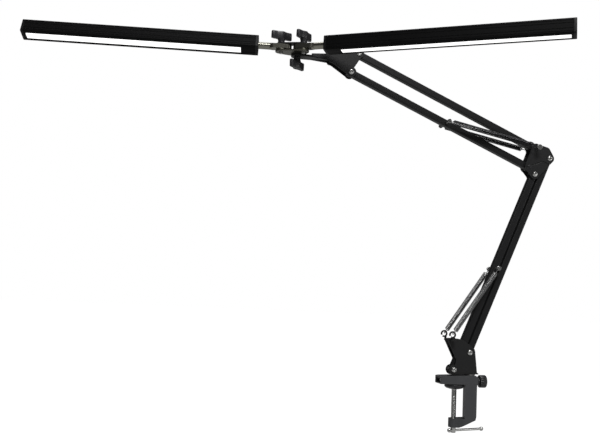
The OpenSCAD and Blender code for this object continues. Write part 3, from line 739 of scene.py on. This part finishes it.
def light_bar(side):
    """Extruded housing, crowned diffuser and both end caps of one bar, along local Z."""
    body = side + "_bar"
    matrix, origin, along = bar_frame(side)
    low, high = span(side + "_housing", origin, along)
    lens_low, lens_high = span(side + "_diffuser", origin, along)
    grommet_at = (Vector(corners(side + "_grommet").mean(0)) - origin).dot(along)
    grooves = (-8.0 * MM, -4.0 * MM, 4.0 * MM, 8.0 * MM)
    outline = square_outline(BAR_HALF, BAR_CORNER, grooves, 0.4 * MM, 0.9 * MM)
    inner = square_outline(BAR_HALF - BAR_WALL, BAR_CORNER - BAR_WALL)
    slot_half = 6.5 * MM
    slot = [(-slot_half, -2 * BAR_HALF), (slot_half, -2 * BAR_HALF), (slot_half, 0), (-slot_half, 0)]
    tools = [prism(inner, low - MM, high + MM), prism(slot, lens_low - 0.1 * MM, lens_high + 0.1 * MM),
             cylinder((0, 0, grommet_at), (0, 2 * BAR_HALF, grommet_at), 3 * MM)]
    shell = shaped(prism(outline, low, high), tools)
    put(side + "_housing_extruded", *shell, body, "bar_aluminium", (side + "_housing",), matrix, 30)

    lens_half, lip, crown = slot_half - 0.1 * MM, 8.4 * MM, 0.35 * MM
    face = 0.35 * MM - BAR_HALF
    step, back = BAR_WALL + 0.1 * MM - BAR_HALF, BAR_WALL + 1.4 * MM - BAR_HALF
    section = []
    for k in range(13):
        share = 2 * k / 12 - 1
        section.append((lens_half * share, face + crown * share * share))
    section += [(lens_half, step), (lip, step), (lip, back), (-lip, back), (-lip, step), (-lens_half, step)]
    put(side + "_diffuser_crowned", *prism(section, lens_low, lens_high), body, "opal",
        (side + "_diffuser",), matrix, 30)

    cap_low, cap_high = span(side + "_outer_cap", origin, along)
    plate = loft([(square_outline(BAR_HALF, BAR_CORNER), cap_high - CAP),
                  (square_outline(BAR_HALF, BAR_CORNER), cap_high - 0.8 * MM),
                  (square_outline(BAR_HALF - 0.25 * MM, BAR_CORNER - 0.25 * MM), cap_high - 0.25 * MM),
                  (square_outline(BAR_HALF - 0.8 * MM, BAR_CORNER - 0.8 * MM), cap_high),
                  (square_outline(BAR_HALF - 2.6 * MM, 1.2 * MM), cap_high),
                  (square_outline(BAR_HALF - 2.9 * MM, 0.9 * MM), cap_high - 0.5 * MM)])
    plug = prism(square_outline(BAR_HALF - BAR_WALL - 0.1 * MM, MM), cap_low, cap_high - CAP + 0.5 * MM)
    put(side + "_outer_cap_moulded", *shaped(plate, [plug], "UNION"), body, "end_plastic",
        (side + "_outer_cap",), matrix, 30)

    cap_low, cap_high = span(side + "_inner_cap", origin, along)
    plate = loft([(square_outline(BAR_HALF - 0.8 * MM, BAR_CORNER - 0.8 * MM), cap_low),
                  (square_outline(BAR_HALF - 0.25 * MM, BAR_CORNER - 0.25 * MM), cap_low + 0.25 * MM),
                  (square_outline(BAR_HALF, BAR_CORNER), cap_low + 0.8 * MM),
                  (square_outline(BAR_HALF, BAR_CORNER), cap_low + CAP)])
    plug = prism(square_outline(BAR_HALF - BAR_WALL - 0.1 * MM, MM), cap_low + CAP - 0.5 * MM, cap_high)
    bearing = lathe([(0, cap_low - MM), (6.6 * MM, cap_low - MM), (5.55 * MM, cap_low + 0.8 * MM),
                     (5.55 * MM, cap_high + MM), (0, cap_high + MM)], 40)
    put(side + "_inner_cap_moulded", *shaped(shaped(plate, [plug], "UNION"), [bearing]), body, "end_plastic",
        (side + "_inner_cap",), matrix, 30)


def elbow_plate():
    """Front elbow plate with its pressed groove, from the left edge up and over to the right."""
    source = nodes["elbow_front_plate"].data
    plate = [v.co.copy() for v in source.vertices], [list(p.vertices) for p in source.polygons]
    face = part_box("elbow_front_plate")[0].y
    pin = joint_at("upper_link_turn")
    groove_half, groove_edge = 1.2 * MM, 0.25 * MM
    bends = [(-10, -1.5), (8, 3.5), (22, 9.5), (27, 9.0), (38, 4.5)]
    path = smoothed([Vector((pin.x + x * MM, face - 0.1 * MM, pin.z + z * MM)) for x, z in bends])
    part = shaped(plate, [sweep(path, groove_half, 12)])
    piece = put("elbow_front_pressed", *part, "elbow", "black_plate", ("elbow_front_plate",), smooth=30)
    bevelled(piece, groove_edge)


springs()
elbow_plate()
arms()
clamp_screw()
wing_knob("left_wing_knob", "left_knob", "left_knob", 1)
wing_knob("right_wing_knob", "right_knob", "right_knob", 1)
wing_knob("head_wing_knob", "head_knob", "head_knob", -1)
lock_knob()
for side in ("left", "right"):
    light_bar(side)


# ---- studio ----

def studio():
    """White behind everything, and a faint even light from all round."""
    scene = bpy.context.scene
    scene.view_settings.view_transform = "Standard"
    world = bpy.data.worlds.new("studio")
    scene.world = world
    world.use_nodes = True
    tree = world.node_tree
    tree.nodes.clear()
    seen = tree.nodes.new("ShaderNodeBackground")
    seen.inputs["Color"].default_value = (1.0, 1.0, 1.0, 1.0)
    seen.inputs["Strength"].default_value = 1.0
    lit = tree.nodes.new("ShaderNodeBackground")
    lit.inputs["Color"].default_value = (1.0, 1.0, 1.0, 1.0)
    lit.inputs["Strength"].default_value = 0.06
    rays = tree.nodes.new("ShaderNodeLightPath")
    either = tree.nodes.new("ShaderNodeMixShader")
    tree.links.new(rays.outputs["Is Camera Ray"], either.inputs["Fac"])
    tree.links.new(lit.outputs["Background"], either.inputs[1])
    tree.links.new(seen.outputs["Background"], either.inputs[2])
    out = tree.nodes.new("ShaderNodeOutputWorld")
    tree.links.new(either.outputs["Shader"], out.inputs["Surface"])


def softbox(name, place, target, size, power):
    """Rectangular light that faces its target."""
    light = bpy.data.lights.new(name, "AREA")
    light.shape = "RECTANGLE"
    light.size, light.size_y = size
    light.energy = power
    obj = bpy.data.objects.new(name, light)
    obj.location = place
    obj.rotation_euler = (Vector(target) - Vector(place)).to_track_quat("-Z", "Y").to_euler()
    bpy.context.scene.collection.objects.link(obj)


def floor():
    """Wide pale floor that shows plain white and gives back a soft light."""
    side, depth = 30.0, cad_lo.z - 0.4
    verts = [(-side, -side, depth), (side, -side, depth), (side, side, depth), (-side, side, depth)]
    mesh = bpy.data.meshes.new("floor")
    mesh.from_pydata(verts, [], [[0, 1, 2, 3]])
    obj = bpy.data.objects.new("floor", mesh)
    bpy.context.scene.collection.objects.link(obj)
    material = bpy.data.materials.new("floor")
    material.use_nodes = True
    tree = material.node_tree
    shader = tree.nodes["Principled BSDF"]
    shader.inputs["Base Color"].default_value = (0.3, 0.3, 0.3, 1.0)
    shader.inputs["Roughness"].default_value = 0.9
    shader.inputs["Emission Color"].default_value = (1.0, 1.0, 1.0, 1.0)
    rays = tree.nodes.new("ShaderNodeLightPath")
    glow = ramp_value(tree, rays.outputs["Is Camera Ray"], 0.3, 1.0)
    tree.links.new(glow, shader.inputs["Emission Strength"])
    mesh.materials.append(material)


def camera():
    """Camera at the photograph's viewing angle, from a yaw, a pitch and a roll."""
    data = bpy.data.cameras.new("camera")
    data.sensor_width = 36.0
    data.lens = 48.1
    data.clip_end = 100.0
    obj = bpy.data.objects.new("camera", data)
    yaw, pitch, roll = (math.radians(a) for a in (-9.95, 5.15, -2.47))
    turn = Matrix.Rotation(yaw, 3, "Z") @ Matrix.Rotation(pitch, 3, "X") @ Matrix.Rotation(roll, 3, "Y")
    right, ahead, up = turn.col
    obj.matrix_world = Matrix((right, up, -ahead)).transposed().to_4x4()
    obj.matrix_world.translation = Vector((-0.478, -1.235, 0.1282))
    bpy.context.scene.collection.objects.link(obj)
    bpy.context.scene.camera = obj


studio()
floor()
camera()
centre = (cad_lo + cad_hi) / 2
softbox("key", (-0.1, -1.9, 2.3), centre, (1.3, 0.7), 66.0)
softbox("fill", (1.9, -1.3, 0.7), centre, (0.6, 1.2), 8.0)
softbox("top", (-0.2, 0.4, 1.8), centre, (1.8, 0.7), 16.0)
